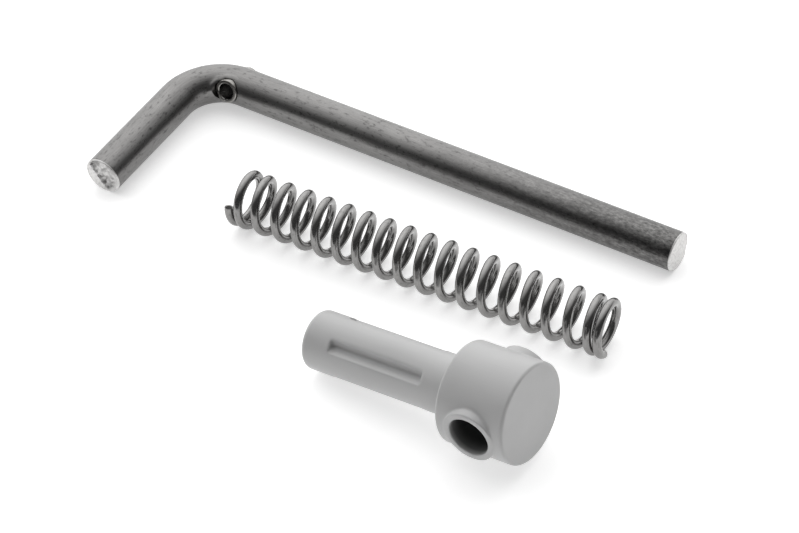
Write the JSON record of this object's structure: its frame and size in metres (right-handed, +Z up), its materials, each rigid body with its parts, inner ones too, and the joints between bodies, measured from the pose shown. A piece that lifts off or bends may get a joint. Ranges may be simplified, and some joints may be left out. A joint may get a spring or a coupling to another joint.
{
  "type": "stair gate latch",
  "caption": "Sprung stair gate bolt laid out as a loose set: L-shaped round bar with a hollow cross pin, closed-end compression spring and plastic guide bush with a cross bore.",
  "frame": {"origin": "on the surface that the set lies on, under the middle of the whole set", "axes": "+X along the bolt's locking leg towards its tip, which is the way it travels; +Z up from the surface; the handle leg points along -Y"},
  "size_m": [0.1162, 0.0702, 0.0211],
  "materials": {
    "bolt_steel": "bare drawn bar, mill finish with lengthwise drawing marks and bright sheared ends",
    "pin_steel": "rolled spring steel strip, bare",
    "spring_steel": "bright drawn spring wire",
    "guide_plastic": "light grey moulded plastic, satin"
  },
  "bodies": {
    "guide": {"guide_bush": "guide_plastic"},
    "spring": {"compression_spring": "spring_steel"},
    "bolt": {"bolt_rod": "bolt_steel", "cross_pin": "pin_steel"}
  },
  "joints": [
    {"name": "bolt_travel", "type": "slide", "parent": "guide", "child": "spring", "axis": [1, 0, 0], "range_m": [0, 0.02], "stiffness_N_per_m": 5900, "deforming": ["compression_spring"]},
    {"name": "bolt_turn", "type": "hinge", "parent": "spring", "child": "bolt", "pos_m": [0, 0.03012, 0.004], "axis": [-1, 0, 0], "range_deg": [0, 90]}
  ]
}
